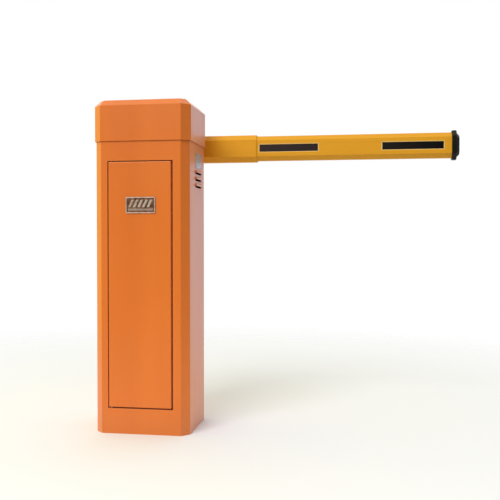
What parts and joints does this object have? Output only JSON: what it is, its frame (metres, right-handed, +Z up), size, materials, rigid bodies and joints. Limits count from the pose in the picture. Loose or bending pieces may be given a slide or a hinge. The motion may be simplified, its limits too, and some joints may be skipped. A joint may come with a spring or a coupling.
{
  "type": "parking barrier gate",
  "caption": "Parking barrier gate: folded steel cabinet with lift-off hood and hinged door, geared motor, spring-balanced shaft and an octagonal lifting boom.",
  "frame": {"origin": "centre of the cabinet's footprint, on the ground", "axes": "+Z up, the door faces -Y, the lowered boom points along +X"},
  "size_m": [1.12, 0.3275, 1.018],
  "materials": {
    "orange_paint": "smooth powder coat, satin",
    "yellow_paint": "gloss enamel on an extrusion",
    "black_film": "self-adhesive film",
    "black_plastic": "moulded, light grain",
    "bright_plate": "bright nickel plate",
    "label_foil": "printed foil, blank",
    "zinc_steel": "zinc plated",
    "ground_steel": "turned and ground",
    "black_oxide": "black oxide",
    "spring_steel": "oil-tempered wire",
    "grey_cast": "painted casting",
    "cast_aluminium": "die cast, shot blasted",
    "gear_steel": "hobbed, oiled",
    "lamination_steel": "stacked laminations, varnished",
    "black_rubber": "moulded rubber",
    "grey_foam": "closed-cell foam",
    "board_green": "solder mask",
    "grey_plastic": "moulded, fine grain",
    "dark_component": "moulded component cases",
    "green_plastic": "moulded cap",
    "red_plastic": "moulded cap",
    "white_plastic": "moulded cap"
  },
  "bodies": {
    "cabinet": {"cabinet_body": "orange_paint", "base_frame": "zinc_steel", "cable_grommet": "black_rubber", "rating_plate": "label_foil", "hood_posts": "black_rubber", "hood_lock_keeper": "zinc_steel", "door_hinge_pins": "zinc_steel", "door_seal": "grey_foam", "bearing_rails": "zinc_steel", "bearing_housings": "grey_cast", "bearing_balls": "ground_steel", "bearing_bolts": "zinc_steel", "limit_sensors": "black_plastic", "stop_buffers": "black_rubber", "stop_brackets": "zinc_steel", "balance_spring_front": "spring_steel", "balance_spring_rear": "spring_steel", "spring_anchor": "zinc_steel", "spring_adjusters": "zinc_steel", "gear_case": "grey_cast", "gear_case_cover": "grey_cast", "drive_mount": "zinc_steel", "motor_body": "cast_aluminium", "motor_stator": "lamination_steel", "motor_end_bell": "cast_aluminium", "drive_screws": "zinc_steel", "control_panel": "zinc_steel", "circuit_board": "board_green", "board_components": "dark_component", "transformer": "lamination_steel", "mains_switch": "grey_plastic"},
    "door": {"door_panel": "orange_paint", "badge_plate": "bright_plate"},
    "hood": {"hood": "orange_paint", "hood_lock_barrel": "bright_plate"},
    "hood_lock": {"hood_lock_plug": "bright_plate"},
    "door_bolt": {"door_bolt": "zinc_steel"},
    "boom": {"main_shaft": "ground_steel", "bearing_inner_rings": "ground_steel", "rocker_arm": "black_oxide", "spring_lever": "black_oxide", "lever_pins": "ground_steel", "limit_disc": "black_oxide", "boom_holder": "black_oxide", "boom_tube": "yellow_paint", "boom_sleeve": "yellow_paint", "boom_bolts": "zinc_steel", "boom_strips": "black_film", "boom_end_cap": "black_plastic"},
    "crank": {"crank_arm": "black_oxide", "output_shaft": "ground_steel", "output_gear": "gear_steel"},
    "rod": {"connecting_rod": "black_oxide"},
    "layshaft": {"layshaft_gear": "gear_steel"},
    "rotor": {"motor_rotor": "ground_steel", "hand_wheel": "black_plastic"},
    "raise_button": {"button_raise": "green_plastic"},
    "stop_button": {"button_stop": "red_plastic"},
    "lower_button": {"button_lower": "white_plastic"},
    "toggle": {"mains_toggle": "red_plastic"}
  },
  "joints": [
    {"name": "boom_lift", "type": "hinge", "parent": "cabinet", "child": "boom", "pos_m": [0, 0, 0.894], "axis": [0, -1, 0], "range_deg": [0, 90], "deforming": ["balance_spring_front", "balance_spring_rear"]},
    {"name": "crank_turn", "type": "hinge", "parent": "cabinet", "child": "crank", "pos_m": [0.062, 0, 0.64], "axis": [0, -1, 0], "range_deg": [-0.1, 90.1]},
    {"name": "rod_swing", "type": "hinge", "parent": "crank", "child": "rod", "pos_m": [0.00264, -0.0385, 0.67709], "axis": [0, -1, 0], "range_deg": [-90.1, 0.1]},
    {"name": "layshaft_turn", "type": "hinge", "parent": "cabinet", "child": "layshaft", "pos_m": [0.062, 0, 0.5815], "axis": [0, -1, 0], "range_deg": [-300.1, 0.1]},
    {"name": "rotor_turn", "type": "hinge", "parent": "cabinet", "child": "rotor", "pos_m": [0.062, 0, 0.523], "axis": [0, -1, 0], "range_deg": [-0.1, 1000.1]},
    {"name": "door_swing", "type": "hinge", "parent": "cabinet", "child": "door", "pos_m": [-0.095, -0.113, 0.455], "axis": [0, 0, -1], "range_deg": [0, 110]},
    {"name": "hood_lift", "type": "slide", "parent": "cabinet", "child": "hood", "axis": [0, 0, 1], "range_m": [0, 0.16]},
    {"name": "hood_lock_turn", "type": "hinge", "parent": "hood", "child": "hood_lock", "pos_m": [-0.14, 0, 0.978], "axis": [-1, 0, 0], "range_deg": [0, 90]},
    {"name": "door_bolt_slide", "type": "slide", "parent": "cabinet", "child": "door_bolt", "axis": [0, 0, 1], "range_m": [-0.02, 0]},
    {"name": "button_raise_press", "type": "slide", "parent": "cabinet", "child": "raise_button", "axis": [0, 1, 0], "range_m": [0, 0.0012], "stiffness_N_per_m": 400},
    {"name": "button_stop_press", "type": "slide", "parent": "cabinet", "child": "stop_button", "axis": [0, 1, 0], "range_m": [0, 0.0012], "stiffness_N_per_m": 400},
    {"name": "button_lower_press", "type": "slide", "parent": "cabinet", "child": "lower_button", "axis": [0, 1, 0], "range_m": [0, 0.0012], "stiffness_N_per_m": 400},
    {"name": "mains_toggle_rock", "type": "hinge", "parent": "cabinet", "child": "toggle", "pos_m": [-0.077, -0.082, 0.1725], "axis": [1, 0, 0], "range_deg": [0, 60]}
  ],
  "couplings": [
    {"joint": "crank_turn", "follows": "boom_lift", "ratio": 1},
    {"joint": "rod_swing", "follows": "boom_lift", "ratio": -1},
    {"joint": "layshaft_turn", "follows": "boom_lift", "ratio": -3.3333},
    {"joint": "rotor_turn", "follows": "boom_lift", "ratio": 11.111}
  ]
}
